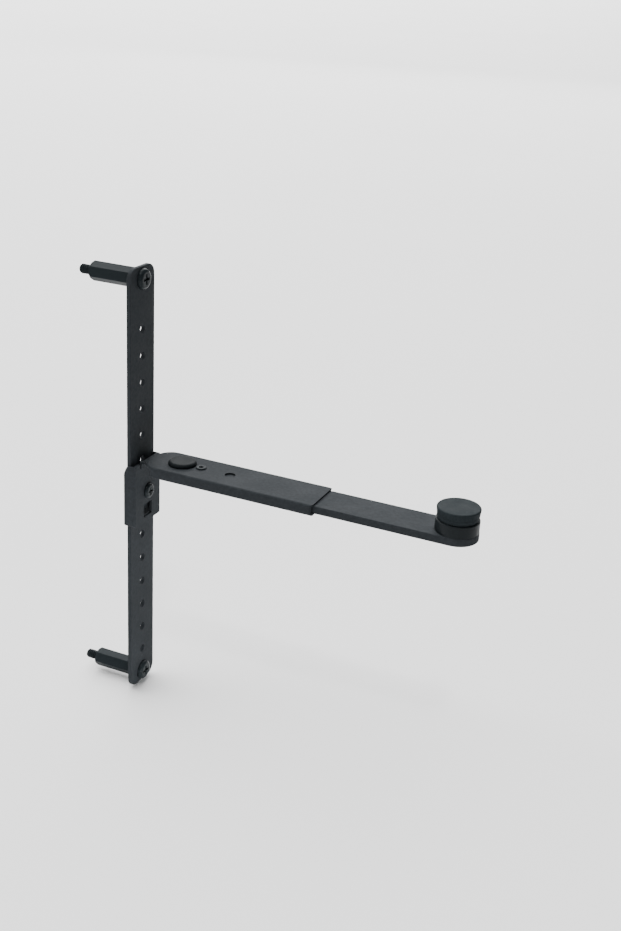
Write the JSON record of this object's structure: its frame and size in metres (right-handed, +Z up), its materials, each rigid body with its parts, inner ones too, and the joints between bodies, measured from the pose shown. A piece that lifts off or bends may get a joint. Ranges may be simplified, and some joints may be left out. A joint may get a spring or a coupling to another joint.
{
  "type": "graphics card support bracket",
  "caption": "Black steel bracket that props up a graphics card: drilled upright bar on threaded standoffs, with a sliding, swivelling, telescoping arm and a round jack pad.",
  "frame": {"origin": "on the board face, midway between the two studs, in the plane of the standoffs' shoulders", "axes": "+X away from the board along the arm, +Y across the bar, +Z up the bar"},
  "size_m": [0.1537, 0.0184, 0.1664],
  "materials": {
    "coated_sheet": "fine satin powder coat, charcoal",
    "black_plated_hex": "black plated hexagon steel, half gloss",
    "black_screw": "black zinc plated steel, half gloss",
    "jack_metal": "black coated turned metal",
    "pad_rubber": "matt black rubber"
  },
  "bodies": {
    "upright": {"upright_bar": "coated_sheet", "upper_standoff": "black_plated_hex", "lower_standoff": "black_plated_hex", "upper_bar_screw": "black_screw", "lower_bar_screw": "black_screw"},
    "height_slider": {"slider": "coated_sheet", "slider_lock_screw": "black_screw", "pivot_rivet": "black_screw", "pivot_washer": "black_screw"},
    "arm_channel": {"outer_arm": "coated_sheet", "arm_lock_screw": "black_screw"},
    "arm_strip": {"inner_arm": "coated_sheet", "jack_base": "jack_metal"},
    "pad": {"jack_screw": "jack_metal", "rubber_pad": "pad_rubber"}
  },
  "joints": [
    {"name": "slider_height", "type": "slide", "parent": "upright", "child": "height_slider", "axis": [0, 0, 1], "range_m": [-0.058, 0.06]},
    {"name": "arm_swivel", "type": "hinge", "parent": "height_slider", "child": "arm_channel", "pos_m": [0.0369, 0, 0.0129], "axis": [0, 0, 1], "range_deg": [-18, 18]},
    {"name": "arm_extension", "type": "slide", "parent": "arm_channel", "child": "arm_strip", "axis": [1, 0, 0], "range_m": [0, 0.012]},
    {"name": "pad_lift", "type": "slide", "parent": "arm_strip", "child": "pad", "axis": [0, 0, 1], "range_m": [0, 0.004]}
  ]
}
